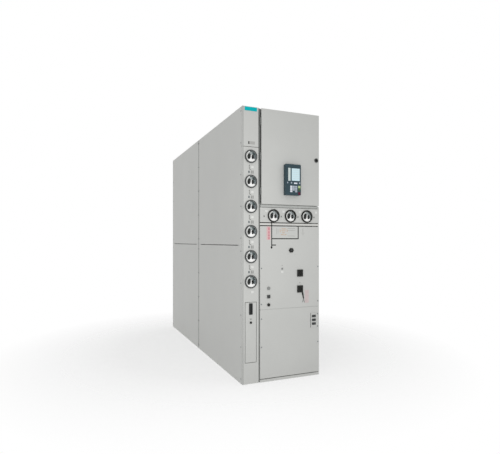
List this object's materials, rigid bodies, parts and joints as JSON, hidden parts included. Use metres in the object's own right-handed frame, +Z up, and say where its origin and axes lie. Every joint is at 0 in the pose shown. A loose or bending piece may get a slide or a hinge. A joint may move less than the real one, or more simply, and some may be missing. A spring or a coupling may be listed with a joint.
{
  "type": "medium-voltage switchgear",
  "caption": "Deep gas-insulated switchgear panel with an end wall, a gauge column, an operating panel, a cable cover and a hinged low-voltage door that carries a relay.",
  "frame": {"origin": "on the floor, in the middle of the rectangle of anchor holes in the base frame", "axes": "+X to the right along the front, +Y into the depth away from the front, +Z up"},
  "size_m": [0.75, 2.7, 2.35],
  "materials": {
    "light_grey_paint": "fine-textured powder coat, satin",
    "mid_grey_paint": "powder coat, satin",
    "dark_frame_paint": "powder coat, matte",
    "teal_plate": "enamel, satin",
    "black_plastic": "moulded, fine grain",
    "slate_plastic": "moulded, fine grain",
    "zinc_plated_steel": "zinc plated"
  },
  "bodies": {
    "cabinet": {"base_side_rails": "dark_frame_paint", "base_cross_rails": "dark_frame_paint", "kick_plate": "light_grey_paint", "frame_posts": "dark_frame_paint", "left_front_lower_side_cover": "light_grey_paint", "left_front_upper_side_cover": "light_grey_paint", "left_rear_lower_side_cover": "light_grey_paint", "left_rear_upper_side_cover": "light_grey_paint", "right_front_lower_side_cover": "light_grey_paint", "right_front_upper_side_cover": "light_grey_paint", "right_rear_lower_side_cover": "light_grey_paint", "right_rear_upper_side_cover": "light_grey_paint", "rear_lower_cover": "light_grey_paint", "rear_upper_cover": "light_grey_paint", "front_roof_sheet": "light_grey_paint", "rear_roof_sheet": "light_grey_paint", "strip_top_cover": "light_grey_paint", "strip_cover": "light_grey_paint", "name_plate": "teal_plate", "access_cover": "light_grey_paint", "access_grip": "black_plastic", "access_lock": "black_plastic", "end_wall_gauges": "black_plastic", "cable_cover": "light_grey_paint", "tap_plate": "light_grey_paint", "tap_sockets": "black_plastic", "operating_panel": "light_grey_paint", "breaker_buttons": "black_plastic", "shaft_cover": "black_plastic", "status_buttons": "black_plastic", "locking_lever": "black_plastic", "light_band": "light_grey_paint", "gauge_panel": "light_grey_paint", "feeder_gauges": "black_plastic", "door_sill": "mid_grey_paint", "lv_floor": "light_grey_paint", "lv_back_wall": "light_grey_paint", "lv_side_walls": "light_grey_paint", "hinge_pins": "dark_frame_paint"},
    "door": {"lv_door": "light_grey_paint", "hinge_knuckles": "dark_frame_paint", "relay": "slate_plastic", "lock_housing": "black_plastic"},
    "lock": {"lock_insert": "zinc_plated_steel"}
  },
  "joints": [
    {"name": "lv_door_hinge", "type": "hinge", "parent": "cabinet", "child": "door", "pos_m": [-0.206, -1.321, 1.9], "axis": [0, 0, -1], "range_deg": [0, 115]},
    {"name": "door_lock_turn", "type": "hinge", "parent": "door", "child": "lock", "pos_m": [0.345, -1.33, 1.94], "axis": [0, 1, 0], "range_deg": [0, 90]}
  ]
}
